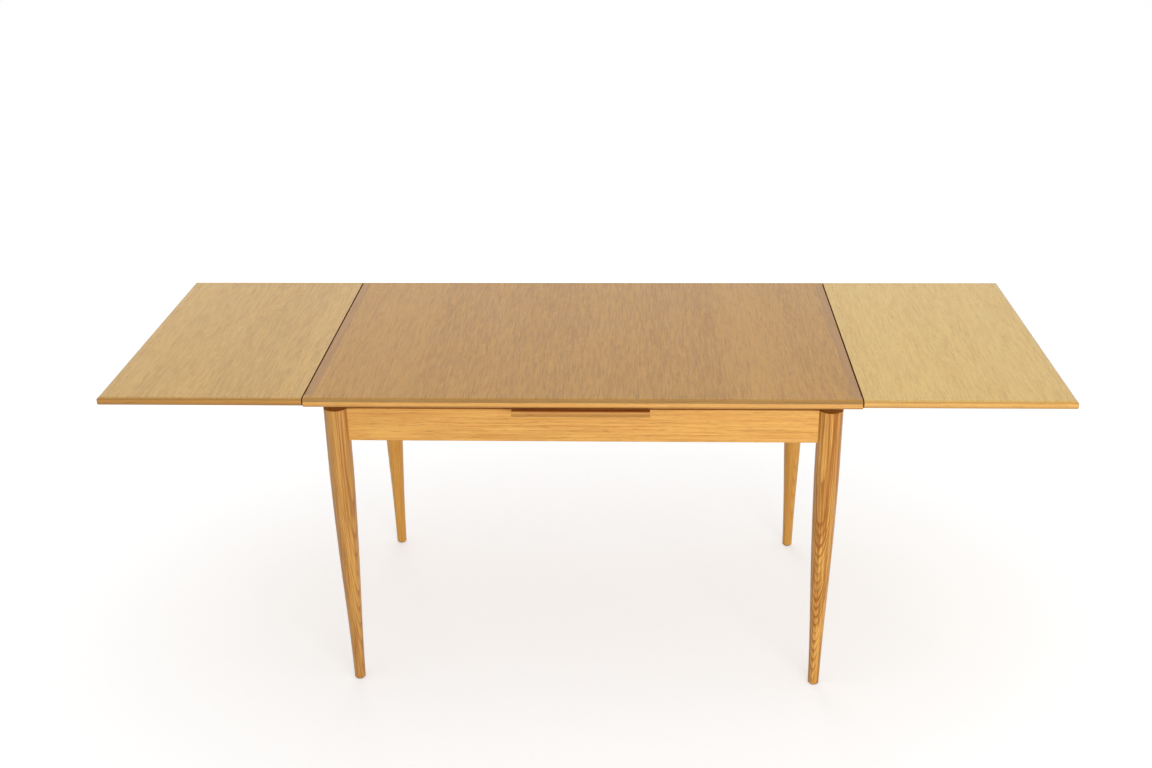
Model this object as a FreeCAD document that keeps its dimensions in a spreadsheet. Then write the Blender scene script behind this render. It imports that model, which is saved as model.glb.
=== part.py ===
import FreeCAD, Part
import math
import os
import re

import Sketcher

# Draw leaf table with both leaves drawn out. The floating top rests on a fixed centre board, and each
# leaf rides on two wedge-shaped bearers that slide through the frame on a slight incline.
# Millimetres, origin on the floor under the middle of the table: +X along its length, +Y towards its
# rear and +Z up.

SIZES = {
    # Boards
    "table_height": 755,
    "top_length": 1200,
    "top_width": 750,
    "top_thick": 22,
    "board_thick": 20,
    "board_length": 298,
    "board_gap": 1,
    "leaf_thick": 19,
    "leaf_clear": 0.3,
    "seam_gap": 2,
    # Lippings round the boards
    "lip_width": 20,
    "nose_round": 9,
    "nose_ease": 8,
    "corner_radius": 6,
    "under_round": 7,
    "upper_round": 1.5,
    "grip_height": 7,
    "grip_depth": 15,
    "bead_round": 4.5,
    "cut_margin": 5,
    # Legs
    "leg_inset_end": 60,
    "leg_inset_side": 53,
    "leg_dia": 55,
    "leg_mid_dia": 37.5,
    "leg_foot_dia": 25.5,
    "leg_straight": 155,
    "leg_mid_height": 225,
    "leg_swell_radius": 12000,
    "leg_hollow_radius": 8000,
    "glide_dia": 20,
    "glide_thick": 3,
    # Aprons and cross rail
    "apron_thick": 20,
    "apron_height": 77,
    "apron_setout": 11,
    "rail_thick": 40,
    "rail_height": 70,
    "glue_gap": 0.1,
    # Dowels
    "dowel_dia": 8,
    "dowel_length": 40,
    "dowel_end_gap": 1,
    "dowel_edge": 20,
    "rail_dowel_length": 36,
    "rail_dowel_bite": 12,
    # Corner braces and their bolts
    "brace_reach": 45,
    "brace_width": 17,
    "brace_height": 50,
    "brace_clear": 6,
    "bolt_dia": 8,
    "bolt_bite": 22,
    "bolt_length": 50,
    "bolt_clear": 0.25,
    "nut_width": 15,
    "nut_thick": 6.5,
    # Bearers
    "bearer_width": 24,
    "bearer_depth": 28,
    "bearer_drop": 3,
    "bearer_end_inset": 35,
    "bearer_spacing": 20,
    "bearer_clear": 0.4,
    "bearer_seat": 0.3,
    "leaf_overdraw": 20,
    "stop_clear": 0.3,
    "stop_pin_dia": 10,
    "stop_pin_out": 8,
    "tail_margin": 12,
    # Guide pegs of the top
    "peg_dia": 18,
    "peg_clear": 0.5,
    "peg_seat": 12,
    "peg_from_end": 74,
    "peg_from_bearer": 74,
    "top_lift": 26,
    "keeper_dia": 36,
    "keeper_thick": 8,
    # Screws
    "screw_dia": 4.5,
    "screw_head_dia": 9,
    "screw_head_thick": 3,
    "screw_gap": 0.1,
    "screw_recess": 1,
    "board_screw_length": 45,
    "rail_screw_pitch": 90,
    "rail_screw_from_bearer": 44,
    "apron_screw_from_end": 39,
    "leaf_screw_grip": 11,
    "leaf_screw_bite": 12,
    "leaf_screw_first": 115,
    "leaf_screw_last": 75,
    "keeper_screw_length": 30,
}

# Levels
TOP_UNDER = "(table_height - top_thick)"
FRAME_TOP = "(table_height - top_thick - board_thick)"
LEAF_UNDER = "(table_height - leaf_thick)"
APRON_LOW = f"({FRAME_TOP} - apron_height)"
RAIL_LOW = f"({FRAME_TOP} - rail_height)"
BRACE_MID = f"({FRAME_TOP} - apron_height / 2)"

# Plan of the frame, from the middle of the table
LEG_X = "(top_length / 2 - leg_inset_end)"
LEG_Y = "(top_width / 2 - leg_inset_side)"
END_OUT = f"({LEG_X} + apron_setout)"
END_IN = f"({LEG_X} + apron_setout - apron_thick)"
SIDE_OUT = f"({LEG_Y} + apron_setout)"
SIDE_IN = f"({LEG_Y} + apron_setout - apron_thick)"
PANEL_WIDTH = "(top_width - 2 * lip_width)"
BOARD_HALF = "(board_length / 2)"

# A leaf drawn out, measured outward from the middle of the table
LEAF_IN = "(top_length / 2 + seam_gap)"
LEAF_LENGTH = f"(top_length / 2 - {BOARD_HALF} - board_gap)"
LEAF_OUT = f"({LEAF_IN} + {LEAF_LENGTH})"
TRAVEL = f"({LEAF_LENGTH} + seam_gap)"
RISE = f"({LEAF_UNDER} - {FRAME_TOP} - leaf_clear)"
SLOPE = f"({RISE} / {TRAVEL})"
BEARER_OUTER = f"({SIDE_IN} - brace_reach - brace_clear - bearer_width / 2)"
BEARER_INNER = f"({BEARER_OUTER} - bearer_width - bearer_spacing)"
BEARER_CLEAR = f"({BEARER_INNER} - bearer_width / 2)"
STOP_AT = "(rail_thick / 2 + stop_clear + leaf_overdraw + stop_pin_dia / 2)"
TAIL = f"({STOP_AT} + stop_pin_dia / 2 + tail_margin)"

# Guide pegs and the centre board's screws, clear of the bearers and of the board's ends
PEG_ALONG = f"({BOARD_HALF} - peg_from_end)"
PEG_ACROSS = f"({BEARER_CLEAR} - peg_from_bearer)"
RAIL_SCREW_OUTER = f"({BEARER_CLEAR} - rail_screw_from_bearer)"
RAIL_SCREW_INNER = f"({RAIL_SCREW_OUTER} - rail_screw_pitch)"
APRON_SCREW_ALONG = f"({BOARD_HALF} - apron_screw_from_end)"

# A screw's hole is open this far outside its head, past the deepest piece that a head is sunk in
COUNTERBORE = "bearer_depth"

X_AXIS = FreeCAD.Vector(1, 0, 0)
Y_AXIS = FreeCAD.Vector(0, 1, 0)
Z_AXIS = FreeCAD.Vector(0, 0, 1)
CORNERS = {
    "front_left": (-1, -1),
    "front_right": (1, -1),
    "rear_left": (-1, 1),
    "rear_right": (1, 1),
}
BRACE_TURN = {(1, 1): 0, (-1, 1): 90, (-1, -1): 180, (1, -1): 270}
SIDES = {"left": -1, "right": 1}
LEAF_SCREWS = 3

# The points of a sketched curve
START, END, CENTRE = range(1, 4)

doc = FreeCAD.newDocument("draw_leaf_table")
sheet = doc.addObject("Spreadsheet::Sheet", "sizes")
for row, (name, size) in enumerate(SIZES.items(), start=1):
    sheet.set(f"A{row}", name)
    sheet.set(f"B{row}", str(size))
    sheet.setAlias(f"B{row}", name)
doc.recompute()

nodes = []


def formula(text):
    """The text with each size's name pointed at the sheet."""

    def point(found):
        word = found.group()
        return f"sizes.{word}" if word in SIZES else word

    return re.sub(r"[a-z_]+", point, text)


def amount(text):
    """The present value of a formula."""
    return float(sheet.evalExpression(formula(text)))


def bind(item, prop, text):
    item.setExpression(prop, formula(text))


def times(sign, text):
    """A formula taken to the positive or the negative side."""
    return text if sign > 0 else f"-({text})"


def place(item, base, turn=0, along=None):
    """Put an item at a base point, turned about Z, or with its own Z axis laid along a direction."""
    rotation = FreeCAD.Rotation(Z_AXIS, turn)
    if along is not None:
        rotation = FreeCAD.Rotation(Z_AXIS, along)
    item.Placement = FreeCAD.Placement(FreeCAD.Vector(), rotation)
    for letter, text in zip("xyz", base):
        bind(item, f"Placement.Base.{letter}", text)
    return item


def place_side(item, side, base, turn=0):
    """Put a leaf's piece, measured on the right leaf, on that leaf or half a turn round on the left one."""
    x, y, z = base
    return place(item, (times(side, x), times(side, y), z), turn if side > 0 else turn + 180)


def node(item, label):
    """Keep an item as a sub-part under its label."""
    item.Label = label
    nodes.append(item)
    return item


def box(size, base):
    item = doc.addObject("Part::Box", "block")
    for prop, text in zip(("Length", "Width", "Height"), size):
        bind(item, prop, text)
    return place(item, base)


def rod(dia, length, base, along=Z_AXIS):
    item = doc.addObject("Part::Cylinder", "rod")
    bind(item, "Radius", f"({dia}) / 2")
    bind(item, "Height", length)
    return place(item, base, along=along)


def fuse(items):
    item = doc.addObject("Part::MultiFuse", "joined")
    item.Shapes = items
    return item


def cut(base, tools):
    item = doc.addObject("Part::Cut", "cut")
    item.Base = base
    item.Tool = tools[0] if len(tools) == 1 else fuse(tools)
    return item


def group(items):
    item = doc.addObject("Part::Compound", "group")
    item.Links = items
    return item


def arc_middle(start, end, radius, side):
    """The middle of an arc from start to end, bulging to the left (1) or right (-1) of that way."""
    chord = end - start
    half = chord.Length / 2
    rise = radius - math.sqrt(radius * radius - half * half)
    across = FreeCAD.Vector(-chord.y, chord.x, 0).normalize()
    return (start + end) * 0.5 + across * (side * rise)


def arc_centre(start, end, radius, side):
    """The formula of an arc's centre across, from the formulas of its ends and radius."""
    (x1, y1), (x2, y2) = start, end
    rise = f"(({y2}) - ({y1}))"
    chord = f"((({x2}) - ({x1})) ^ 2 + {rise} ^ 2)"
    reach = f"{rise} * sqrt((({radius}) ^ 2 - {chord} / 4) / {chord})"
    return f"(({x1}) + ({x2})) / 2 + ({side}) * {reach}"


def outline(sketch, points, arcs=None):
    """A closed outline through points given as formulas. arcs gives a stretch's radius and bulge side."""
    arcs = arcs or {}
    spots = [FreeCAD.Vector(amount(x), amount(y), 0) for x, y in points]

    def hold(kind, index, place_on_curve, value, text):
        rule = Sketcher.Constraint(kind, -1, 1, index, place_on_curve, value)
        bind(sketch, f"Constraints[{sketch.addConstraint(rule)}]", text)

    ends = []
    for i, start in enumerate(spots):
        after = (i + 1) % len(spots)
        end = spots[after]
        if i in arcs:
            radius, side = arcs[i]
            index = sketch.addGeometry(Part.Arc(start, arc_middle(start, end, amount(radius), side), end))
            forward = side < 0
            ends.append((index, START, END) if forward else (index, END, START))
            text = arc_centre(points[i], points[after], radius, side)
            hold("DistanceX", index, CENTRE, amount(text), text)
        else:
            index = sketch.addGeometry(Part.LineSegment(start, end))
            ends.append((index, START, END))
    for i, (index, first, _) in enumerate(ends):
        before, _, last = ends[i - 1]
        sketch.addConstraint(Sketcher.Constraint("Coincident", before, last, index, first))
        for kind, value, text in zip(("DistanceX", "DistanceY"), spots[i], points[i]):
            hold(kind, index, first, value, text)


def sketch_on(body, role, points, arcs=None):
    plane = next(item for item in body.Origin.OriginFeatures if item.Role == role)
    sketch = body.newObject("Sketcher::SketchObject", "outline")
    sketch.AttachmentSupport = [(plane, "")]
    sketch.MapMode = "FlatFace"
    outline(sketch, points, arcs)
    return sketch


def padded(role, points, length, arcs=None, side_type="One side"):
    body = doc.addObject("PartDesign::Body", "body")
    sketch = sketch_on(body, role, points, arcs)
    pad = body.newObject("PartDesign::Pad", "pad")
    pad.Profile = sketch
    pad.SideType = side_type
    bind(pad, "Length", length)
    return body


def trim(body, points, depth, arcs):
    """Cut an upright outline out of a body that stands on its XY plane."""
    doc.recompute()
    volume = body.Shape.Volume
    sketch = sketch_on(body, "XY_Plane", points, arcs)
    pocket = body.newObject("PartDesign::Pocket", "trim")
    pocket.Profile = sketch
    pocket.Reversed = True
    bind(pocket, "Length", depth)
    doc.recompute()
    if body.Shape.Volume >= volume:
        raise ValueError("a trimmed end was not cut")


def mitre(body, length, thick, at_far_end):
    """Mitre one end of a lipping, with the table's corner rounded in plan."""

    def along(text):
        return f"{length} + ({text})" if at_far_end else f"-({text})"

    slant = "corner_radius * (1 - 1 / sqrt(2))"
    points = [
        (along("-lip_width - cut_margin"), "-cut_margin"),
        (along(f"-{slant}"), f"lip_width - {slant}"),
        (along("-corner_radius"), "lip_width"),
        (along("-corner_radius"), "lip_width + cut_margin"),
        (along("cut_margin"), "lip_width + cut_margin"),
        (along("cut_margin"), "-cut_margin"),
    ]
    trim(body, points, thick, {1: ("corner_radius", -1 if at_far_end else 1)})


def eased_lip(length, thick, low, high):
    """A lipping along X from the origin, its flat back on Y = 0 and its outer edge rounded low and high."""
    points = [
        ("0", "0"),
        (f"lip_width - {low}", "0"),
        ("lip_width", low),
        ("lip_width", f"{thick} - {high}"),
        (f"lip_width - {high}", thick),
        ("0", thick),
    ]
    return padded("YZ_Plane", points, length, {1: (low, -1), 3: (high, -1)})


def nosed_lip(length, thick, mitred=()):
    """A lipping whose outer edge is a nose, well rounded above, with its ends mitred where asked."""
    body = eased_lip(length, thick, "nose_ease", "nose_round")
    for at_far_end in mitred:
        mitre(body, length, thick, at_far_end)
    return body


def grip_lip(length):
    """The centre board's lipping: a bead below a rebate, where fingers reach under the top to lift it."""
    bead = "(board_thick - grip_height)"
    points = [
        ("0", "0"),
        ("lip_width - bead_round", "0"),
        ("lip_width", "bead_round"),
        ("lip_width", f"{bead} - bead_round"),
        ("lip_width - bead_round", bead),
        ("lip_width - grip_depth", bead),
        ("lip_width - grip_depth", "board_thick"),
        ("0", "board_thick"),
    ]
    return padded("YZ_Plane", points, length, {1: ("bead_round", -1), 3: ("bead_round", -1)})


def screw(head_at, length, along):
    """A plain screw from the outer face of its head, and the hole that takes it, both along a direction."""
    step = along.z
    x, y, z = head_at
    seat = (x, y, f"{z} + ({step}) * screw_head_thick")
    shank = f"{length} - screw_head_thick"
    body = fuse([
        rod("screw_head_dia", "screw_head_thick", head_at, along),
        rod("screw_dia", shank, seat, along),
    ])
    outside = (x, y, f"{z} - ({step}) * {COUNTERBORE}")
    hole = fuse([
        rod("screw_head_dia + 2 * screw_gap", f"screw_head_thick + {COUNTERBORE}", outside, along),
        rod("screw_dia + 2 * screw_gap", f"{shank} + screw_gap", seat, along),
    ])
    return body, hole


def build_top():
    """The floating top, its lippings, and the guide pegs that keep it on the centre board."""
    sockets = []
    pegs = []
    keepers = []
    screws = []
    for sign in (-1, 1):
        x = times(sign, PEG_ALONG)
        y = times(sign, PEG_ACROSS)
        keeper_top = f"{FRAME_TOP} - top_lift"
        keeper_low = f"{keeper_top} - keeper_thick"
        socket_mouth = (x, y, f"{TOP_UNDER} - cut_margin")
        sockets.append(rod("peg_dia + 2 * glue_gap", "peg_seat + cut_margin", socket_mouth))
        screw_body, screw_hole = screw((x, y, keeper_low), "keeper_screw_length", Z_AXIS)
        peg = rod("peg_dia", f"{TOP_UNDER} + peg_seat - ({keeper_top})", (x, y, keeper_top))
        keeper = rod("keeper_dia", "keeper_thick", (x, y, keeper_low))
        pegs.append(cut(peg, [screw_hole]))
        keepers.append(cut(keeper, [screw_hole]))
        screws.append(screw_body)
    length = "top_length - 2 * lip_width"
    panel = box((length, PANEL_WIDTH, "top_thick"), (f"-({length}) / 2", f"-{PANEL_WIDTH} / 2", TOP_UNDER))
    node(cut(panel, sockets), "top_panel")
    for label, sign in (("front", -1), ("rear", 1)):
        lip = node(nosed_lip("top_length", "top_thick"), f"top_{label}_lip")
        base = (times(-sign, "top_length / 2"), times(sign, f"{PANEL_WIDTH} / 2"), TOP_UNDER)
        place(lip, base, 0 if sign > 0 else 180)
    for label, sign in SIDES.items():
        seam_edge = eased_lip(PANEL_WIDTH, "top_thick", "under_round", "upper_round")
        lip = node(seam_edge, f"top_{label}_lip")
        base = (times(sign, "top_length / 2 - lip_width"), times(sign, f"{PANEL_WIDTH} / 2"), TOP_UNDER)
        place(lip, base, -90 * sign)
    node(group(pegs), "guide_pegs")
    node(group(keepers), "peg_keepers")
    node(group(screws), "keeper_screws")


def board_screws():
    """The screws that hold the centre board down, by what they bite into: the rail or an apron."""
    head = f"{TOP_UNDER} - screw_recess"
    rail = []
    aprons = {-1: [], 1: []}
    for sign in (-1, 1):
        for across in (RAIL_SCREW_INNER, RAIL_SCREW_OUTER):
            rail.append(screw(("0", times(sign, across), head), "board_screw_length", -Z_AXIS))
        for side in (-1, 1):
            spot = (times(side, APRON_SCREW_ALONG), times(sign, f"{SIDE_OUT} - apron_thick / 2"), head)
            aprons[sign].append(screw(spot, "board_screw_length", -Z_AXIS))
    return rail, aprons


def build_centre_board(rail_screws, apron_screws):
    """The fixed board between the leaves' slots, on which the top rests."""
    every = rail_screws + apron_screws[-1] + apron_screws[1]
    holes = [hole for _, hole in every]
    for sign in (-1, 1):
        spot = (times(sign, PEG_ALONG), times(sign, PEG_ACROSS), f"{FRAME_TOP} - cut_margin")
        holes.append(rod("peg_dia + 2 * peg_clear", "board_thick + 2 * cut_margin", spot))
    slab = box(
        (f"2 * {BOARD_HALF}", PANEL_WIDTH, "board_thick"),
        (f"-{BOARD_HALF}", f"-{PANEL_WIDTH} / 2", FRAME_TOP),
    )
    node(cut(slab, holes), "centre_board")
    for label, sign in (("front", -1), ("rear", 1)):
        lip = node(grip_lip(f"2 * {BOARD_HALF}"), f"centre_board_{label}_lip")
        base = (times(-sign, BOARD_HALF), times(sign, f"{PANEL_WIDTH} / 2"), FRAME_TOP)
        place(lip, base, 0 if sign > 0 else 180)
    node(group([body for body, _ in every]), "centre_board_screws")


def corner_dowels(sx, sy):
    """The dowels at one leg and their holes: first along X into the long apron, then along Y."""
    dowels = []
    long_holes = []
    end_holes = []
    reach = "leg_dia / 2 + dowel_length / 2"
    for level in (f"{FRAME_TOP} - dowel_edge", f"{APRON_LOW} + dowel_edge"):
        start = (times(sx, f"{LEG_X} - ({reach})"), times(sy, f"{SIDE_OUT} - apron_thick / 2"), level)
        dowels.append(rod("dowel_dia", "dowel_length", start, X_AXIS * sx))
        x, y, z = start
        mouth = (f"{x} - ({sx}) * dowel_end_gap", y, z)
        hole_length = "dowel_length + 2 * dowel_end_gap"
        long_holes.append(rod("dowel_dia + 2 * glue_gap", hole_length, mouth, X_AXIS * sx))
        start = (times(sx, f"{END_OUT} - apron_thick / 2"), times(sy, f"{LEG_Y} - ({reach})"), level)
        dowels.append(rod("dowel_dia", "dowel_length", start, Y_AXIS * sy))
        x, y, z = start
        mouth = (x, f"{y} - ({sy}) * dowel_end_gap", z)
        end_holes.append(rod("dowel_dia + 2 * glue_gap", hole_length, mouth, Y_AXIS * sy))
    return dowels, long_holes, end_holes


def leg_blank():
    """A turned leg: a straight upper part, a swelling taper and a slightly hollow lower end."""
    points = [
        ("0", "glide_thick"),
        ("leg_foot_dia / 2", "glide_thick"),
        ("leg_mid_dia / 2", "leg_mid_height"),
        ("leg_dia / 2", f"{FRAME_TOP} - leg_straight"),
        ("leg_dia / 2", FRAME_TOP),
        ("0", FRAME_TOP),
    ]
    arcs = {1: ("leg_hollow_radius", 1), 2: ("leg_swell_radius", -1)}
    body = doc.addObject("PartDesign::Body", "leg")
    sketch = sketch_on(body, "XZ_Plane", points, arcs)
    turned = body.newObject("PartDesign::Revolution", "turned")
    turned.Profile = sketch
    turned.ReferenceAxis = (sketch, ["V_Axis"])
    return body


def corner_bolt(sx, sy):
    """The bolt from a leg through its corner brace, its clearance hole and its nut."""
    inward = FreeCAD.Vector(-sx, -sy, 0).normalize()

    def spot(distance):
        step = f"({distance}) / sqrt(2)"
        return (times(sx, f"{LEG_X} - {step}"), times(sy, f"{LEG_Y} - {step}"), BRACE_MID)

    bolt = rod("bolt_dia", "bolt_length", spot("leg_dia / 2 - bolt_bite"), inward)
    hole_start = spot("leg_dia / 2 - bolt_bite - dowel_end_gap")
    hole = rod("bolt_dia + 2 * bolt_clear", "bolt_length + dowel_end_gap", hole_start, inward)
    nut_seat = spot("(brace_reach + 2 * (apron_thick - apron_setout)) / sqrt(2)")
    blank = doc.addObject("Part::Prism", "nut")
    blank.Polygon = 6
    bind(blank, "Circumradius", "nut_width / sqrt(3)")
    bind(blank, "Height", "nut_thick")
    place(blank, nut_seat, along=inward)
    nut = cut(blank, [hole])
    return bolt, hole, nut


def brace_blank(sx, sy):
    points = [
        ("0", "-brace_reach"),
        ("0", "brace_width - brace_reach"),
        ("brace_width - brace_reach", "0"),
        ("-brace_reach", "0"),
    ]
    body = padded("XY_Plane", points, "brace_height")
    base = (times(sx, END_IN), times(sy, SIDE_IN), f"{BRACE_MID} - brace_height / 2")
    return place(body, base, BRACE_TURN[sx, sy])


def leg_cope(sx, sy):
    """The room for a leg, cut from the ends of the aprons that meet it."""
    base = (times(sx, LEG_X), times(sy, LEG_Y), f"{APRON_LOW} - cut_margin")
    return rod("leg_dia + 2 * glue_gap", "apron_height + 2 * cut_margin", base)


def bearer_line(along):
    """The level of a bearer's upper edge at a distance outward from the middle of the table."""
    return f"({TOP_UNDER} - bearer_drop + {SLOPE} * (({along}) - top_length / 2))"


def bearer_notch(side, across):
    """The notch in an end apron that a bearer of its leaf slides through."""
    low = f"{bearer_line(END_IN)} - bearer_depth - bearer_seat"
    width = "bearer_width + 2 * bearer_clear"
    notch = box(
        ("apron_thick + 2 * cut_margin", width, f"{FRAME_TOP} + cut_margin - ({low})"),
        ("0", "0", "0"),
    )
    return place_side(notch, side, (f"{END_IN} - cut_margin", f"{across} - ({width}) / 2", low))


def bearer_window(side, across):
    """The window in the cross rail that a bearer slides through."""
    low = f"{bearer_line('-rail_thick / 2')} - bearer_depth - bearer_seat"
    high = f"{bearer_line('rail_thick / 2')} + bearer_seat"
    width = "bearer_width + 2 * bearer_clear"
    window = box(("rail_thick + 2 * cut_margin", width, f"{high} - ({low})"), ("0", "0", "0"))
    return place_side(window, side, ("-rail_thick / 2 - cut_margin", f"{across} - ({width}) / 2", low))


def bearer_places():
    """Where each leaf's bearers lie across the table, as measured on the right leaf."""
    return (BEARER_OUTER, f"-{BEARER_INNER}")


def rail_dowels(sign):
    """The dowels between the cross rail and one long apron, and their holes."""
    dowels = []
    holes = []
    start = f"{SIDE_IN} + rail_dowel_bite - rail_dowel_length"
    for level in (f"{FRAME_TOP} - dowel_edge", f"{RAIL_LOW} + dowel_edge"):
        dowels.append(rod("dowel_dia", "rail_dowel_length", ("0", times(sign, start), level), Y_AXIS * sign))
        mouth = times(sign, f"{start} - dowel_end_gap")
        length = "rail_dowel_length + 2 * dowel_end_gap"
        holes.append(rod("dowel_dia + 2 * glue_gap", length, ("0", mouth, level), Y_AXIS * sign))
    return dowels, holes


def build_frame(rail_screws, apron_screws):
    """Legs, aprons, cross rail, corner braces, and what joins them."""
    dowels = []
    bolts = []
    nuts = []
    glides = []
    cross_dowels = []
    rail_holes = [hole for _, hole in rail_screws]
    long_cuts = {sign: [hole for _, hole in apron_screws[sign]] for sign in (-1, 1)}
    end_cuts = {side: [] for side in (-1, 1)}
    for label, (sx, sy) in CORNERS.items():
        corner, long_holes, end_holes = corner_dowels(sx, sy)
        bolt, bolt_hole, nut = corner_bolt(sx, sy)
        blank = place(leg_blank(), (times(sx, LEG_X), times(sy, LEG_Y), "0"))
        node(cut(blank, long_holes + end_holes + [bolt_hole]), f"leg_{label}")
        node(cut(brace_blank(sx, sy), [bolt_hole]), f"corner_brace_{label}")
        glides.append(rod("glide_dia", "glide_thick", (times(sx, LEG_X), times(sy, LEG_Y), "0")))
        cope = leg_cope(sx, sy)
        long_cuts[sy] += long_holes + [cope]
        end_cuts[sx] += end_holes + [cope]
        dowels += corner
        bolts.append(bolt)
        nuts.append(nut)
    for sign in (-1, 1):
        ends, holes = rail_dowels(sign)
        cross_dowels += ends
        rail_holes += holes
        long_cuts[sign] += holes
    for side in (-1, 1):
        for across in bearer_places():
            rail_holes.append(bearer_window(side, across))
            end_cuts[side].append(bearer_notch(side, across))
    for label, sign in (("front", -1), ("rear", 1)):
        low_y = f"-{SIDE_OUT}" if sign < 0 else SIDE_IN
        board = box((f"2 * {LEG_X}", "apron_thick", "apron_height"), (f"-{LEG_X}", low_y, APRON_LOW))
        node(cut(board, long_cuts[sign]), f"{label}_apron")
    for label, side in SIDES.items():
        low_x = f"-{END_OUT}" if side < 0 else END_IN
        board = box(("apron_thick", f"2 * {LEG_Y}", "apron_height"), (low_x, f"-{LEG_Y}", APRON_LOW))
        node(cut(board, end_cuts[side]), f"{label}_apron")
    rail = box(("rail_thick", f"2 * {SIDE_IN}", "rail_height"), ("-rail_thick / 2", f"-{SIDE_IN}", RAIL_LOW))
    node(cut(rail, rail_holes), "cross_rail")
    node(group(dowels), "apron_dowels")
    node(group(cross_dowels), "cross_rail_dowels")
    node(group(bolts), "corner_bolts")
    node(group(nuts), "corner_nuts")
    node(group(glides), "foot_glides")


def bearer_blank():
    """A bearer, measured outward: an inclined bar under the top, planed flat where it carries its leaf."""
    meet = f"top_length / 2 + ({LEAF_UNDER} - {TOP_UNDER} + bearer_drop) / {SLOPE}"
    end = f"{LEAF_OUT} - bearer_end_inset"
    points = [
        (f"-{TAIL}", f"{bearer_line(f'-{TAIL}')} - bearer_depth"),
        (end, f"{bearer_line(end)} - bearer_depth"),
        (end, LEAF_UNDER),
        (meet, LEAF_UNDER),
        (f"-{TAIL}", bearer_line(f"-{TAIL}")),
    ]
    return padded("XZ_Plane", points, "bearer_width", side_type="Symmetric")


def build_leaf(name, side):
    """A leaf with its lippings, and the bearers, screws and stop pins that move with it."""
    screws = []
    pins = []
    panel_holes = []
    stop_level = f"{bearer_line(f'-{STOP_AT}')} - bearer_depth / 2"
    pin_length = "bearer_width + 2 * stop_pin_out"
    last = f"({LEAF_LENGTH} - bearer_end_inset - leaf_screw_last)"
    pitch = f"({last} - leaf_screw_first) / {LEAF_SCREWS - 1}"
    for across in bearer_places():
        holes = []
        for i in range(LEAF_SCREWS):
            along = f"{LEAF_IN} + leaf_screw_first + {i} * {pitch}"
            level = f"{LEAF_UNDER} - leaf_screw_grip - screw_head_thick"
            head = (times(side, along), times(side, across), level)
            body, hole = screw(head, "screw_head_thick + leaf_screw_grip + leaf_screw_bite", Z_AXIS)
            screws.append(body)
            holes.append(hole)
        pin_end = (times(side, f"-{STOP_AT}"), f"{times(side, across)} - ({pin_length}) / 2", stop_level)
        pins.append(rod("stop_pin_dia", pin_length, pin_end, Y_AXIS))
        pin_hole = rod("stop_pin_dia + 2 * glue_gap", pin_length, pin_end, Y_AXIS)
        bearer = place_side(bearer_blank(), side, ("0", across, "0"))
        end = "front" if amount(times(side, across)) < 0 else "rear"
        node(cut(bearer, holes + [pin_hole]), f"{name}_leaf_{end}_bearer")
        panel_holes += holes
    length = f"{LEAF_LENGTH} - 2 * lip_width"
    panel = box((length, PANEL_WIDTH, "leaf_thick"), ("0", "0", "0"))
    place_side(panel, side, (f"{LEAF_IN} + lip_width", f"-{PANEL_WIDTH} / 2", LEAF_UNDER))
    node(cut(panel, panel_holes), f"{name}_leaf_panel")
    inner = node(box(("lip_width", PANEL_WIDTH, "leaf_thick"), ("0", "0", "0")), f"{name}_leaf_inner_lip")
    place_side(inner, side, (LEAF_IN, f"-{PANEL_WIDTH} / 2", LEAF_UNDER))
    outer = node(nosed_lip("top_width", "leaf_thick", (False, True)), f"{name}_leaf_outer_lip")
    place_side(outer, side, (f"{LEAF_OUT} - lip_width", "top_width / 2", LEAF_UNDER), -90)
    far, near = ("rear", "front") if side > 0 else ("front", "rear")
    lip = node(nosed_lip(LEAF_LENGTH, "leaf_thick", (True,)), f"{name}_leaf_{far}_lip")
    place_side(lip, side, (LEAF_IN, f"{PANEL_WIDTH} / 2", LEAF_UNDER))
    lip = node(nosed_lip(LEAF_LENGTH, "leaf_thick", (False,)), f"{name}_leaf_{near}_lip")
    place_side(lip, side, (LEAF_OUT, f"-{PANEL_WIDTH} / 2", LEAF_UNDER), 180)
    node(group(screws), f"{name}_leaf_screws")
    node(group(pins), f"{name}_leaf_stop_pins")


def write_parts():
    """Check every object and sub-part, then write the sub-parts."""
    doc.recompute()
    for item in doc.Objects:
        if "Invalid" in item.State or "Error" in item.State:
            raise ValueError(f"{item.Name} failed: {item.State}")
    for item in nodes:
        if item.Shape.isNull() or not item.Shape.isValid():
            raise ValueError(f"{item.Label} has no valid shape")
    os.makedirs("parts", exist_ok=True)
    for item in nodes:
        item.Shape.exportStep(f"parts/{item.Label}.step")


rail_screws, apron_screws = board_screws()
build_top()
build_centre_board(rail_screws, apron_screws)
build_frame(rail_screws, apron_screws)
for name, side in SIDES.items():
    build_leaf(name, side)
write_parts()
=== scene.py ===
import math
from typing import NamedTuple

import bpy
from mathutils import Matrix, Vector


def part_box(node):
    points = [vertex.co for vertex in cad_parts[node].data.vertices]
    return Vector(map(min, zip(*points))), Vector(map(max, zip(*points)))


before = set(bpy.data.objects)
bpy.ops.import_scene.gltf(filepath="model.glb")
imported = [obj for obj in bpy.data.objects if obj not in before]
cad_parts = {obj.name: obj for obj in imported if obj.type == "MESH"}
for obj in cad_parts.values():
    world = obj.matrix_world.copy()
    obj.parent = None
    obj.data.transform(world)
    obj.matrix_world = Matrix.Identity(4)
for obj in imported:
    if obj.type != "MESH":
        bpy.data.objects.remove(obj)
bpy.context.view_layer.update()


def rgba(colour):
    return (*colour, 1.0)


def linear(red, green, blue):
    """A colour given as the eye reads it, 0 to 255, as the linear values that shaders take."""

    def one(level):
        share = level / 255
        return share / 12.92 if share <= 0.04045 else ((share + 0.055) / 1.055) ** 2.4

    return (one(red), one(green), one(blue))


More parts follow.
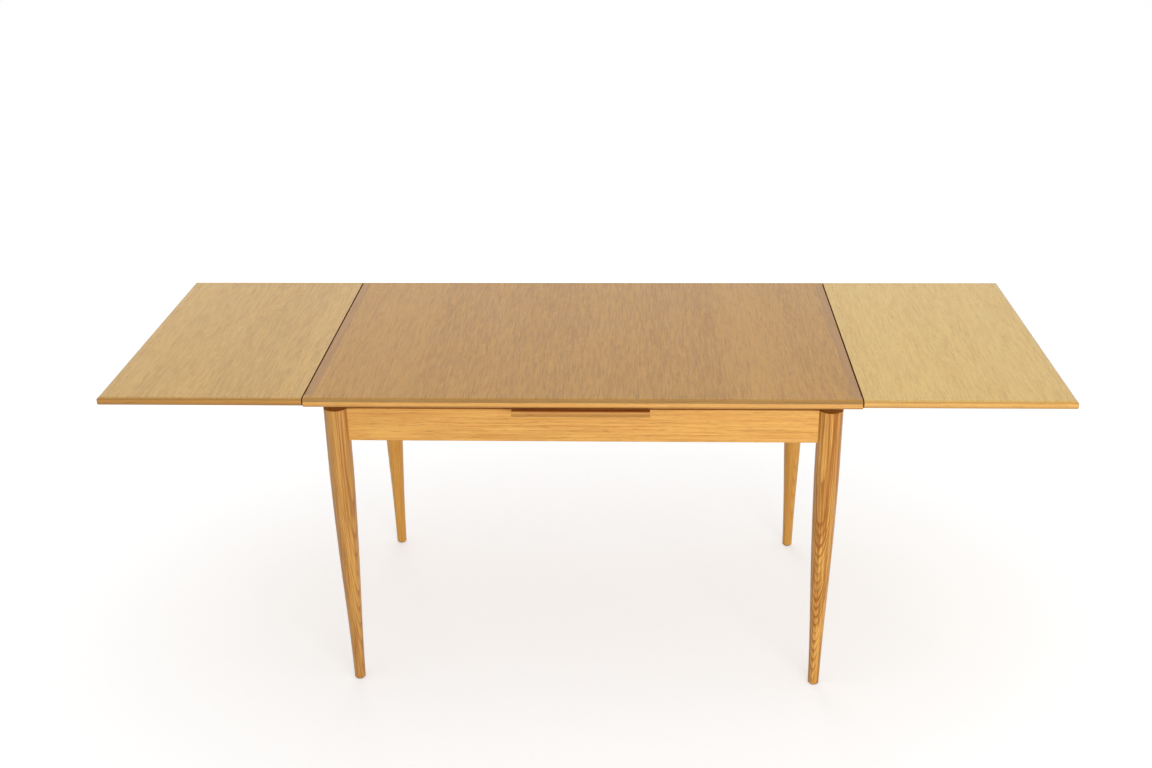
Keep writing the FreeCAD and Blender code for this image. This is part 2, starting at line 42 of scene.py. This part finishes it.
def scaled(colour, share):
    """A colour made darker or paler, up to white."""
    return tuple(min(1.0, share * value) for value in colour)


class Noise(NamedTuple):
    """How fine a noise is, with its detail and roughness.

    draw is its scale along the grain as a share of its scale across it, so small values give long lines.
    """

    scale: float
    detail: float
    rough: float
    draw: float = 1.0
    distortion: float = 0.0


class Leg(NamedTuple):
    """A leg's pale and dark tones, and how strong its figure is.

    face is the side in plan that shows the arches of the figure. lean is how far the heart of the log draws
    away from that side for each metre of height.
    """

    tones: tuple
    face: tuple
    lean: float
    figure: float


# The photograph's frame in pixels, and the camera fitted to it
IMAGE_WIDTH = 1152
FOCAL_PIXELS = 1401.1
SENSOR_WIDTH = 36.0
CAMERA_PLACE = (0.1216, -3.0953, 1.9902)
CAMERA_YAW = math.radians(2.738)
CAMERA_PITCH = math.radians(23.743)
CAMERA_ROLL = math.radians(-0.884)

# The way from the middle of the table to each end
OUTWARD = {"left": -1, "right": 1}

# Turns that lay a board's grain, along the named axis, onto the texture's own Z axis
GRAIN_TURN = {
    "X": (0, math.radians(-90), 0),
    "Y": (math.radians(90), 0, 0),
    "Z": (0, 0, 0),
}

# How far each board's figure is shifted, so that no two are alike, and the direction of the shift
SEED_WAY = (1.0, 0.37, 0.71)
SEEDS = {
    "top": 5.3,
    "top lips": 20.0,
    "seam lips": 32.0,
    "left leaf": 7.7,
    "right leaf": 112.3,
    "board": 41.0,
    "board lips": 26.0,
    "braces": 50.0,
    "aprons": 60.0,
    "rail": 70.0,
    "turned": 80.0,
    "pins": 81.0,
}
LEG_SEED_STEP = 1.7
LEAF_LIP_SEED = 1
LEAF_BEARER_SEED = 6

# What a wood's figure is made of, all drawn out along the grain
STREAKS = Noise(14.0, 3.0, 0.55, draw=0.06, distortion=0.3)
SOLID_LINES = Noise(240.0, 3.0, 0.7, draw=0.02)
VENEER_LINES = Noise(400.0, 3.0, 0.7, draw=0.045)
PORES = Noise(900.0, 2.0, 0.6, draw=0.035)
PORE_RANGE = 0.56, 0.7
PORE_SHADE = 0.5
MOTTLE = Noise(38.0, 3.0, 0.6, draw=0.3)
MOTTLE_RANGE = 0.4, 0.7
MOTTLE_SHARE = 0.5
MOTTLE_COLOUR = (1.0, 0.93, 0.86)

# How far each part of the figure moves a wood from its pale tone at 0 towards its dark one at 1
MIDDLE_TONE = 0.42
STREAK_WEIGHT = 0.4
LINE_WEIGHT = 2.4
STRIP_WEIGHT = 0.32
RING_WEIGHT = 0.75
RING_RUN_WEIGHT = 0.8

# Growth rings of the solid legs, and how far they stray, in metres
RING_SPACING = 0.0026
RING_STRAY = 0.0022
STRAYING = Noise(30.0, 2.0, 0.5, draw=0.2)
# How far off the heart of the log lies, and the height up to which it leans
PITH_REACH = 0.06
LEAN_HEIGHT = 0.45
# Where in a ring its late wood lies, and how dark this is from ring to ring
LATE_WOOD = 0.35, 1.0
LATE_DARKNESS = 0.35, 1.0
# How runs of darker and paler rings follow each other
RING_RUN = {"Scale": 0.17, "Detail": 1.0}
# How open the pores are in early wood, and how much more so in late wood
EARLY_PORES = 0.35
LATE_PORES = 0.8

# Sharp edges: samples for each softened normal, and the cosines of its turn on a face and at an edge
EDGE_SAMPLES = 6
EDGE_TURN = 0.995, 0.8

# Lacquer: wear along the edges, smears of gloss, and the depth of the grain in metres
WORN_EDGE = 0.0016
WORN_PALER = 1.25
RUBBING = Noise(45.0, 3.0, 0.65)
RUBBING_RANGE = 0.42, 0.68
RUBBING_SHARE = 0.35
SMEARS = Noise(7.0, 2.0, 0.5)
SMEAR_RANGE = 0.3, 0.75
SMEAR_ROUGH = -0.015, 0.025
PORE_ROUGH = 0.05
GRAIN_DEPTH = 0.0004
LINE_HEIGHT = 0.4
BOARD_RELIEF = 0.25
LEG_RELIEF = 0.35
LACQUER_SPECULAR = 0.4

# Roughness of the finished and the plain woods
NOSE_ROUGH = 0.2
VENEER_ROUGH = 0.26
LIP_ROUGH = 0.3
FRAME_ROUGH = 0.34
BOARD_ROUGH = 0.4
TURNED_ROUGH = 0.5
BEARER_ROUGH = 0.55
PLANED_ROUGH = 0.6

# How far up a lipping has to look to be veneered
VENEER_TURN = 0.6, 0.85
# How far sideways it has to look to be dark, where it closes against the next board
JOINT_TURN = 0.1, 0.45
JOINT_TONE = linear(110, 64, 20)
JOINT_ROUGH = 0.6

# Painted shade on a lipping as its face turns, from looking down at 0, through upright at 0.5, to up at 1;
# the band left at 1 where it looks forward is a painted highlight
TOP_ARRIS_PAINTED_SHADE = (
    (0.0, (0.85, 0.83, 0.80)),
    (0.30, (0.62, 0.58, 0.50)),
    (0.39, (0.90, 0.88, 0.85)),
    (0.45, (1.0, 1.0, 1.0)),
    (0.53, (1.0, 1.0, 1.0)),
    (0.60, (0.50, 0.52, 0.48)),
    (0.80, (0.50, 0.53, 0.68)),
    (0.93, (0.77, 0.80, 1.0)),
    (0.99, (0.95, 0.95, 1.0)),
    (1.0, (1.0, 1.0, 1.0)),
)
LEAF_ARRIS_PAINTED_SHADE = (
    (0.0, (0.74, 0.74, 0.78)),
    (0.20, (0.72, 0.72, 0.76)),
    (0.40, (0.80, 0.80, 0.80)),
    (0.48, (0.86, 0.87, 0.86)),
    (0.52, (0.92, 0.93, 0.92)),
    (0.57, (1.0, 1.0, 1.0)),
    (0.64, (0.97, 1.0, 0.97)),
    (0.74, (0.80, 0.83, 0.80)),
    (0.85, (0.70, 0.69, 0.71)),
    (0.93, (0.76, 0.73, 0.78)),
    (0.97, (0.84, 0.82, 0.85)),
    (0.99, (0.94, 0.94, 0.95)),
    (1.0, (1.0, 1.0, 1.0)),
)

# Painted shade on the centre board's lippings, from their lower edge at 0 to the top of the rebate at 1:
# darker on the bead's lower half, a pale painted highlight along its top, and dark painted shade in the
# rebate
BEAD_PAINTED_SHADE = (
    (0.0, (0.72, 0.66, 0.40)),
    (0.39, (0.72, 0.66, 0.43)),
    (0.48, (1.0, 0.98, 0.95)),
    (0.60, (1.0, 0.98, 0.95)),
    (0.655, (0.77, 0.50, 0.24)),
    (0.69, (0.26, 0.13, 0.04)),
    (1.0, (0.22, 0.11, 0.03)),
)

# Colours of the woods, pale and dark within each
TOP_TONES = linear(219, 163, 71), linear(187, 131, 47)
# The right leaf is paler and the left darker, partly their own wood and partly painted light falling from
# the right
LEAF_TONES = {
    "left": (linear(239, 193, 107), linear(213, 165, 83)),
    "right": (linear(253, 213, 122), linear(234, 188, 98)),
}
LIP_TONES = linear(228, 172, 92), linear(200, 142, 64)
# The left leaf's lippings are darker and the right's paler, partly their own wood and partly painted light
# falling from the right
LEAF_LIP_TONES = {
    "left": (linear(205, 149, 71), linear(180, 124, 51)),
    "right": (linear(232, 178, 98), linear(206, 150, 72)),
}
SEAM_TONES = linear(204, 152, 88), linear(182, 130, 70)
APRON_TONES = linear(230, 175, 91), linear(199, 138, 61)
BOARD_TONES = linear(214, 160, 90), linear(182, 126, 62)
BEECH_TONES = linear(214, 178, 132), linear(190, 146, 100)
REAR_LEG_TONES = linear(233, 175, 82), linear(190, 127, 47)
LEGS = {
    "front_left": Leg((linear(215, 160, 81), linear(154, 96, 36)), (0.85, -0.53), lean=0.02, figure=0.6),
    "front_right": Leg((linear(226, 170, 84), linear(160, 98, 26)), (-0.42, -0.91), lean=0.075, figure=0.95),
    "rear_left": Leg(REAR_LEG_TONES, (-0.80, -0.60), lean=0.02, figure=0.4),
    "rear_right": Leg(REAR_LEG_TONES, (0.53, -0.85), lean=0.02, figure=0.4),
}

# Zinc-plated steel, whose edges are worn bright, and moulded plastic, with depths in metres
NOISE_RANGE = 0.3, 0.7
ZINC_MOTTLE = Noise(420.0, 3.0, 0.6)
ZINC_TONES = (0.42, 0.41, 0.39), (0.62, 0.61, 0.58)
ZINC_WORN = (0.78, 0.77, 0.75)
ZINC_EDGE = 0.0004
ZINC_ROUGH = 0.28, 0.45
ZINC_RELIEF = 0.1
PLASTIC_GRAIN = Noise(1400.0, 2.0, 0.6)
PLASTIC_SCUFFS = Noise(160.0, 4.0, 0.7)
SCUFF_RANGE = 0.5, 0.75
PLASTIC_TONES = (0.030, 0.027, 0.024), (0.09, 0.08, 0.07)
PLASTIC_ROUGH = 0.45, 0.65
PLASTIC_RELIEF = 0.2
SMALL_DEPTH = 0.0002

# The floor's half width and colour
FLOOR_HALF = 40.0
FLOOR_COLOUR = (0.65, 0.65, 0.65)
# The distances from the middle between which the floor's own glow rises, and its strength at both; the
# weaker glow near the table is a painted shadow
PAINTED_SHADOW_REACH = 0.6, 1.9
FLOOR_GLOW = 0.48, 0.585

# The light that the white surround gives, and the place and power of each lamp
WORLD_LIGHT = 0.63
LAMP_TARGET = (0.0, 0.0, 0.65)
LAMP_SIZE = (2.6, 1.6)
LAMPS = {
    "key": ((1.3, -3.9, 1.0), 90),
    "fill": ((-0.8, 4.0, 1.6), 40),
}


class Wood(NamedTuple):
    """A wood's colours and figure.

    The grain runs along one axis of the table. figure and pores say how strongly its lines and pores show.
    strip is the width of the leaves of veneer, 0 for solid wood. pith is where the heart of the log lies in
    plan, for wood that shows its growth rings. lean is how far it draws away for each metre of height.
    """

    pale: tuple
    dark: tuple
    grain: str
    seed: float
    figure: float = 0.6
    pores: float = 0.4
    lines: Noise = SOLID_LINES
    strip: float = 0.0
    pith: tuple = None
    lean: tuple = (0.0, 0.0)


class Shader:
    """The node tree of a material or world, with short calls to add and join nodes."""

    def __init__(self, owner, output):
        self.owner = owner
        owner.use_nodes = True
        self.tree = owner.node_tree
        self.tree.nodes.clear()
        self.output = self.add(output)

    def add(self, kind, inputs=None, **settings):
        """A node with its settings made and its inputs set or joined."""
        node = self.tree.nodes.new(kind)
        for key, value in settings.items():
            setattr(node, key, value)
        for key, value in (inputs or {}).items():
            if isinstance(value, bpy.types.NodeSocket):
                self.tree.links.new(value, node.inputs[key])
            else:
                node.inputs[key].default_value = value
        return node

    def spot(self):
        """Where a spot lies, in the metres of its own node."""
        return self.add("ShaderNodeTexCoord").outputs["Object"]

    def normal(self):
        return self.add("ShaderNodeNewGeometry").outputs["Normal"]

    def math(self, operation, first, second=0.0, third=0.0):
        inputs = {0: first, 1: second, 2: third}
        return self.add("ShaderNodeMath", inputs, operation=operation).outputs[0]

    def vector(self, operation, first, second=(0, 0, 0), third=(0, 0, 0)):
        """The outputs of a sum with vectors: Vector and Value."""
        inputs = {0: first, 1: second, 2: third}
        return self.add("ShaderNodeVectorMath", inputs, operation=operation).outputs

    def split(self, vector):
        return self.add("ShaderNodeSeparateXYZ", {0: vector}).outputs

    def moved(self, vector, location=(0, 0, 0), rotation=(0, 0, 0), scale=(1, 1, 1)):
        inputs = {"Vector": vector, "Location": location, "Rotation": rotation, "Scale": scale}
        return self.add("ShaderNodeMapping", inputs).outputs[0]

    def spread(self, value, low, high, to_low=0.0, to_high=1.0):
        """A value's range from low to high, stretched smoothly to another range."""
        inputs = {0: value, 1: low, 2: high, 3: to_low, 4: to_high}
        return self.add("ShaderNodeMapRange", inputs, interpolation_type="SMOOTHSTEP").outputs[0]

    def sway(self, base, value, weight):
        """A base moved up and down by a value that varies round one half."""
        return self.math("MULTIPLY_ADD", self.math("SUBTRACT", value, 0.5), weight, base)

    def blend(self, share, first, second, mode="MIX"):
        """Two colours mixed by a share."""
        inputs = {0: share, 6: first, 7: second}
        return self.add("ShaderNodeMix", inputs, data_type="RGBA", blend_type=mode).outputs[2]

    def ramp(self, value, stops):
        """Colours along a value, from stops that each have a place and a colour, with ends at 0 and 1."""
        node = self.add("ShaderNodeValToRGB", {0: value})
        elements = node.color_ramp.elements
        elements[0].color = rgba(stops[0][1])
        elements[1].color = rgba(stops[-1][1])
        for position, colour in stops[1:-1]:
            elements.new(position).color = rgba(colour)
        return node.outputs[0]

    def noise(self, vector, kind):
        """A noise, drawn out along the third axis if its kind says so."""
        if kind.draw != 1.0:
            vector = self.moved(vector, scale=(1, 1, kind.draw))
        inputs = {
            "Vector": vector,
            "Scale": kind.scale,
            "Detail": kind.detail,
            "Roughness": kind.rough,
            "Distortion": kind.distortion,
        }
        return self.add("ShaderNodeTexNoise", inputs).outputs[0]

    def by_number(self, number):
        """A value of its own for each whole number."""
        whole = self.math("FLOOR", number)
        return self.add("ShaderNodeTexWhiteNoise", {"W": whole}, noise_dimensions="1D").outputs["Value"]

    def seen(self):
        """1 where the camera, a reflection or a clear body looks, and 0 for light on other surfaces."""
        path = self.add("ShaderNodeLightPath").outputs
        either = self.math("MAXIMUM", path["Is Camera Ray"], path["Is Glossy Ray"])
        return self.math("MAXIMUM", either, path["Is Transmission Ray"])

    def relief(self, height, strength, depth, normal=None):
        """A normal bent by a height, over the true normal or a softened one."""
        inputs = {"Strength": strength, "Distance": depth, "Height": height}
        if normal is not None:
            inputs["Normal"] = normal
        return self.add("ShaderNodeBump", inputs).outputs[0]

    def coat(self, colour, roughness, normal, constants=None):
        """The finished material, with values that are the same all over it."""
        inputs = {"Base Color": colour, "Roughness": roughness, "Normal": normal, **(constants or {})}
        return self.finish(self.add("ShaderNodeBsdfPrincipled", inputs).outputs[0])

    def finish(self, surface):
        self.tree.links.new(surface, self.output.inputs["Surface"])
        return self.owner


def material_shader(name):
    return Shader(bpy.data.materials.new(name), "ShaderNodeOutputMaterial")


def edge_mask(shader, radius):
    """0 on a face and rising to 1 at its sharp edges, with the softened normal that shows it."""
    soft = shader.add("ShaderNodeBevel", {"Radius": radius}, samples=EDGE_SAMPLES).outputs[0]
    turn = shader.vector("DOT_PRODUCT", soft, shader.normal())["Value"]
    return shader.spread(turn, *EDGE_TURN), soft


def growth_rings(shader, place, wood):
    """How dark each spot is by its own ring, and by the run of rings that it lies in."""
    leaning = shader.math("MINIMUM", shader.split(place)[2], LEAN_HEIGHT)
    plan = shader.vector("MULTIPLY_ADD", place, (1, 1, 0), (-wood.pith[0], -wood.pith[1], 0))["Vector"]
    plan = shader.vector("MULTIPLY_ADD", leaning, (-wood.lean[0], -wood.lean[1], 0), plan)["Vector"]
    distance = shader.vector("LENGTH", plan)["Value"]
    strayed = shader.math("MULTIPLY_ADD", shader.noise(place, STRAYING), RING_STRAY, distance)
    number = shader.math("DIVIDE", strayed, RING_SPACING)
    late = shader.spread(shader.math("FRACT", number), *LATE_WOOD)
    darkness = shader.spread(shader.by_number(number), 0.0, 1.0, *LATE_DARKNESS)
    run = shader.add("ShaderNodeTexNoise", {"W": number, **RING_RUN}, noise_dimensions="1D").outputs[0]
    return shader.math("MULTIPLY", late, darkness), run


def figure(shader, wood):
    """A wood's colour, with the masks of its open pores and of its fine lines."""
    place = shader.spot()
    along = shader.moved(place, rotation=GRAIN_TURN[wood.grain])
    shifted = shader.moved(along, location=tuple(wood.seed * step for step in SEED_WAY))
    line = shader.noise(shifted, wood.lines)
    pores = shader.spread(shader.noise(shifted, PORES), *PORE_RANGE)
    tone = shader.sway(MIDDLE_TONE, shader.noise(shifted, STREAKS), STREAK_WEIGHT * wood.figure)
    tone = shader.sway(tone, line, LINE_WEIGHT * wood.figure)

    if wood.pith:
        late, run = growth_rings(shader, place, wood)
        tone = shader.math("MULTIPLY_ADD", late, RING_WEIGHT * wood.figure, tone)
        tone = shader.sway(tone, run, RING_RUN_WEIGHT * wood.figure)
        opened = shader.math("MULTIPLY_ADD", late, LATE_PORES, EARLY_PORES)
        pores = shader.math("MULTIPLY", pores, opened)

    if wood.strip:
        # Each leaf of veneer has a tone of its own
        across = shader.split(shifted)[0]
        own = shader.by_number(shader.math("DIVIDE", across, wood.strip))
        tone = shader.sway(tone, own, STRIP_WEIGHT * wood.figure)

    colour = shader.blend(shader.spread(tone, 0.0, 1.0), rgba(wood.pale), rgba(wood.dark))
    mottle = shader.spread(shader.noise(shifted, MOTTLE), *MOTTLE_RANGE, 0.0, MOTTLE_SHARE)
    colour = shader.blend(mottle, colour, rgba(MOTTLE_COLOUR), "MULTIPLY")
    open_share = shader.math("MULTIPLY", pores, wood.pores)
    return shader.blend(open_share, colour, rgba(scaled(wood.dark, PORE_SHADE))), pores, line


def lay_veneer(shader, colour, cover, arris):
    """A colour with a veneer laid over its flat top, and with painted shade and a painted highlight on its
    rounded arris.
    """
    upward = shader.split(shader.normal())[2]
    veneer, _, _ = figure(shader, cover)
    colour = shader.blend(shader.spread(upward, *VENEER_TURN), colour, veneer)
    # The ramp paints shade on the rounding and under the edge, and leaves a painted highlight where the face
    # looks forward
    turn = shader.math("MULTIPLY_ADD", upward, 0.5, 0.5)
    return shader.blend(1.0, colour, shader.ramp(turn, arris), "MULTIPLY")


def shade_bead(shader, colour, low, high):
    """A colour with painted shade on a bead and in the rebate over it, and a painted highlight along the
    bead's top, between two heights.
    """
    height = shader.split(shader.spot())[2]
    share = shader.math("DIVIDE", shader.math("SUBTRACT", height, low), high - low)
    return shader.blend(1.0, colour, shader.ramp(share, BEAD_PAINTED_SHADE), "MULTIPLY")


def rub_edges(shader, colour, edge, pale):
    """A colour rubbed pale here and there along the edges."""
    rubbed = shader.spread(shader.noise(shader.spot(), RUBBING), *RUBBING_RANGE, 0.0, RUBBING_SHARE)
    return shader.blend(shader.math("MULTIPLY", edge, rubbed), colour, rgba(scaled(pale, WORN_PALER)))


def closing_mask(shader, normal, sides):
    """1 on the sides that close against the next board, and at the edges there."""
    sideways = shader.split(normal)[0]
    mask = 0.0
    for side in sides:
        closing = shader.spread(shader.math("MULTIPLY", sideways, side), *JOINT_TURN)
        mask = shader.math("MAXIMUM", mask, closing)
    return mask


def lacquered(name, wood, cover=None, arris=None, bead=None, jointed=(), rough=LIP_ROUGH, bump=BOARD_RELIEF):
    """Lacquered wood, rubbed pale along its edges.

    cover is a veneer laid over its flat top and down to its rounded arris, and arris gives that arris
    painted shade and a painted highlight as it turns.
    bead is the lowest and highest height of a bead with a rebate over it, which get painted shade there.
    jointed names the sides, -1 for left and 1 for right, that close against the next board and are dark.
    """
    shader = material_shader(name)
    colour, pores, line = figure(shader, wood)
    if cover:
        colour = lay_veneer(shader, colour, cover, arris)
    if bead:
        colour = shade_bead(shader, colour, *bead)
    edge, soft = edge_mask(shader, WORN_EDGE)
    colour = rub_edges(shader, colour, edge, wood.pale)

    smear = shader.noise(shader.spot(), SMEARS)
    roughness = shader.spread(smear, *SMEAR_RANGE, *(rough + change for change in SMEAR_ROUGH))
    roughness = shader.math("MULTIPLY_ADD", pores, PORE_ROUGH, roughness)
    if jointed:
        closing = closing_mask(shader, soft, jointed)
        colour = shader.blend(closing, colour, rgba(JOINT_TONE))
        roughness = shader.math("MULTIPLY_ADD", closing, JOINT_ROUGH, roughness)
    height = shader.math("MULTIPLY_ADD", pores, -1.0, shader.math("MULTIPLY", line, LINE_HEIGHT))
    relief = shader.relief(height, bump, GRAIN_DEPTH, soft)
    return shader.coat(colour, roughness, relief, {"Specular IOR Level": LACQUER_SPECULAR})


def steel():
    """Zinc-plated steel, faintly mottled."""
    shader = material_shader("zinc_steel")
    mottle = shader.noise(shader.spot(), ZINC_MOTTLE)
    colour = shader.blend(mottle, *(rgba(tone) for tone in ZINC_TONES))
    edge, soft = edge_mask(shader, ZINC_EDGE)
    colour = shader.blend(edge, colour, rgba(ZINC_WORN))
    roughness = shader.spread(mottle, *NOISE_RANGE, *ZINC_ROUGH)
    relief = shader.relief(mottle, ZINC_RELIEF, SMALL_DEPTH, soft)
    return shader.coat(colour, roughness, relief, {"Metallic": 1.0})


def glide_plastic():
    """Dark moulded plastic with pale scuffs."""
    shader = material_shader("glide_plastic")
    place = shader.spot()
    scuff = shader.noise(place, PLASTIC_SCUFFS)
    colour = shader.blend(shader.spread(scuff, *SCUFF_RANGE), *(rgba(tone) for tone in PLASTIC_TONES))
    roughness = shader.spread(scuff, *NOISE_RANGE, *PLASTIC_ROUGH)
    relief = shader.relief(shader.noise(place, PLASTIC_GRAIN), PLASTIC_RELIEF, SMALL_DEPTH)
    return shader.coat(colour, roughness, relief)


def dress(node, material):
    """Give a CAD node one material all over."""
    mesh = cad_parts[node].data
    mesh.materials.clear()
    mesh.materials.append(material)


def dress_top():
    veneer = Wood(*TOP_TONES, "Y", SEEDS["top"], figure=1.3, pores=0.6, lines=VENEER_LINES, strip=0.17)
    dress("top_panel", lacquered("top_veneer", veneer, rough=VENEER_ROUGH))
    for number, place in enumerate(("front", "rear")):
        lip = Wood(*LIP_TONES, "X", SEEDS["top lips"] + number)
        finish = lacquered(f"top_{place}_lipping", lip, veneer, TOP_ARRIS_PAINTED_SHADE, jointed=(-1, 1), rough=NOSE_ROUGH)
        dress(f"top_{place}_lip", finish)
    for number, (side, outward) in enumerate(OUTWARD.items()):
        lip = Wood(*SEAM_TONES, "Y", SEEDS["seam lips"] + number)
        dress(f"top_{side}_lip", lacquered(f"top_{side}_lipping", lip, jointed=(outward,)))


def dress_leaf(side, outward):
    seed = SEEDS[f"{side} leaf"]
    tones = LEAF_TONES[side]
    veneer = Wood(*tones, "Y", seed, figure=1.2, pores=0.55, lines=VENEER_LINES, strip=0.16)
    dress(f"{side}_leaf_panel", lacquered(f"{side}_leaf_veneer", veneer, rough=VENEER_ROUGH))
    for number, (place, grain) in enumerate((("front", "X"), ("rear", "X"), ("outer", "Y"), ("inner", "Y"))):
        lip = Wood(*LEAF_LIP_TONES[side], grain, seed + LEAF_LIP_SEED + number)
        closing = () if place == "outer" else (-outward,)
        finish = lacquered(f"{side}_leaf_{place}_lipping", lip, veneer, LEAF_ARRIS_PAINTED_SHADE,
                           jointed=closing, rough=NOSE_ROUGH)
        dress(f"{side}_leaf_{place}_lip", finish)
    for number, place in enumerate(("front", "rear")):
        bearer = Wood(*BEECH_TONES, "X", seed + LEAF_BEARER_SEED + number)
        dress(f"{side}_leaf_{place}_bearer", lacquered(f"{side}_{place}_bearer", bearer, rough=BEARER_ROUGH))


def dress_board():
    veneer = Wood(*BOARD_TONES, "Y", SEEDS["board"], strip=0.15)
    dress("centre_board", lacquered("board_veneer", veneer, rough=BOARD_ROUGH))
    for number, place in enumerate(("front", "rear")):
        lip = Wood(*BOARD_TONES, "X", SEEDS["board lips"] + number)
        low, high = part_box(f"centre_board_{place}_lip")
        dress(f"centre_board_{place}_lip", lacquered(f"board_{place}_lipping", lip, bead=(low[2], high[2])))


def dress_legs():
    for number, (corner, leg) in enumerate(LEGS.items()):
        low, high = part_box(f"leg_{corner}")
        pith = tuple((a + b) / 2 - PITH_REACH * side for a, b, side in zip(low, high, leg.face))
        lean = tuple(-leg.lean * side for side in leg.face)
        wood = Wood(*leg.tones, "Z", LEG_SEED_STEP * number, leg.figure, pores=0.5, pith=pith, lean=lean)
        dress(f"leg_{corner}", lacquered(f"leg_{corner}_wood", wood, rough=FRAME_ROUGH, bump=LEG_RELIEF))
        brace = Wood(*BEECH_TONES, "Z", SEEDS["braces"] + number)
        dress(f"corner_brace_{corner}", lacquered(f"brace_{corner}", brace, rough=PLANED_ROUGH))


def dress_rails():
    for number, (side, grain) in enumerate((("front", "X"), ("rear", "X"), ("left", "Y"), ("right", "Y"))):
        apron = Wood(*APRON_TONES, grain, SEEDS["aprons"] + number, figure=0.9, pores=0.6)
        dress(f"{side}_apron", lacquered(f"{side}_apron_veneer", apron, rough=FRAME_ROUGH))
    rail = Wood(*BEECH_TONES, "Y", SEEDS["rail"])
    dress("cross_rail", lacquered("rail_beech", rail, rough=PLANED_ROUGH))


def dress_fasteners():
    turned = lacquered("turned_beech", Wood(*BEECH_TONES, "Z", SEEDS["turned"]), rough=TURNED_ROUGH)
    for node in ("guide_pegs", "peg_keepers", "apron_dowels"):
        dress(node, turned)
    pinned = lacquered("pin_beech", Wood(*BEECH_TONES, "Y", SEEDS["pins"]), rough=TURNED_ROUGH)
    for node in ("cross_rail_dowels", "left_leaf_stop_pins", "right_leaf_stop_pins"):
        dress(node, pinned)
    metal = steel()
    for node in ("centre_board_screws", "keeper_screws", "left_leaf_screws", "right_leaf_screws",
                 "corner_bolts", "corner_nuts"):
        dress(node, metal)
    dress("foot_glides", glide_plastic())


def floor_paint():
    """Pale paint that glows where it is looked at, less so near the table as a painted shadow, and is clear
    from below.
    """
    shader = material_shader("floor")
    diffuse = shader.add("ShaderNodeBsdfDiffuse", {"Color": rgba(FLOOR_COLOUR)}).outputs[0]
    distance = shader.vector("LENGTH", shader.spot())["Value"]
    # Painted shadow: the glow is weaker near the table
    glow_with_painted_shadow = shader.spread(distance, *PAINTED_SHADOW_REACH, *FLOOR_GLOW)
    strength = shader.math("MULTIPLY", shader.seen(), glow_with_painted_shadow)
    glow = shader.add("ShaderNodeEmission", {"Strength": strength}).outputs[0]
    lit = shader.add("ShaderNodeAddShader", {0: diffuse, 1: glow}).outputs[0]
    below = shader.add("ShaderNodeNewGeometry").outputs["Backfacing"]
    clear = shader.add("ShaderNodeBsdfTransparent").outputs[0]
    return shader.finish(shader.add("ShaderNodeMixShader", {0: below, 1: lit, 2: clear}).outputs[0])


def add_floor():
    """A plain pale floor that reaches past the view and keeps the table's shadow."""
    corners = [(-1, -1), (1, -1), (1, 1), (-1, 1)]
    mesh = bpy.data.meshes.new("floor")
    mesh.from_pydata([(x * FLOOR_HALF, y * FLOOR_HALF, 0) for x, y in corners], [], [(0, 1, 2, 3)])
    mesh.materials.append(floor_paint())
    floor = bpy.data.objects.new("floor", mesh)
    bpy.context.scene.collection.objects.link(floor)


def add_world():
    """A white surround, which gives the table a softer light of its own."""
    shader = Shader(bpy.data.worlds.new("studio"), "ShaderNodeOutputWorld")
    strength = shader.spread(shader.seen(), 0.0, 1.0, WORLD_LIGHT, 1.0)
    back = shader.add("ShaderNodeBackground", {"Color": (1, 1, 1, 1), "Strength": strength}).outputs[0]
    bpy.context.scene.world = shader.finish(back)


def add_lamp(name, place, power):
    """A soft rectangular lamp aimed at the table, with no glare of its own on the lacquer."""
    light = bpy.data.lights.new(name, "AREA")
    light.shape = "RECTANGLE"
    light.size, light.size_y = LAMP_SIZE
    light.energy = power
    lamp = bpy.data.objects.new(name, light)
    bpy.context.scene.collection.objects.link(lamp)
    lamp.location = place
    lamp.rotation_euler = (Vector(LAMP_TARGET) - Vector(place)).to_track_quat("-Z", "Y").to_euler()
    lamp.visible_camera = False
    lamp.visible_glossy = False


def add_camera():
    """The photograph's camera: yaw, pitch and roll about its own place, with an unshifted lens."""
    lens = bpy.data.cameras.new("camera")
    lens.sensor_fit = "HORIZONTAL"
    lens.sensor_width = SENSOR_WIDTH
    lens.lens = FOCAL_PIXELS / IMAGE_WIDTH * SENSOR_WIDTH
    camera = bpy.data.objects.new("camera", lens)
    bpy.context.scene.collection.objects.link(camera)
    upright = Matrix.Rotation(math.radians(90), 4, "X")
    turn = Matrix.Rotation(CAMERA_YAW, 4, "Z")
    tip = Matrix.Rotation(-CAMERA_PITCH, 4, "X")
    roll = Matrix.Rotation(CAMERA_ROLL, 4, "Z")
    camera.matrix_world = Matrix.Translation(CAMERA_PLACE) @ turn @ upright @ tip @ roll
    bpy.context.scene.camera = camera


dress_top()
for side, outward in OUTWARD.items():
    dress_leaf(side, outward)
dress_board()
dress_legs()
dress_rails()
dress_fasteners()
add_floor()
add_world()
for name, (place, power) in LAMPS.items():
    add_lamp(name, place, power)
add_camera()
bpy.context.scene.view_settings.view_transform = "Standard"
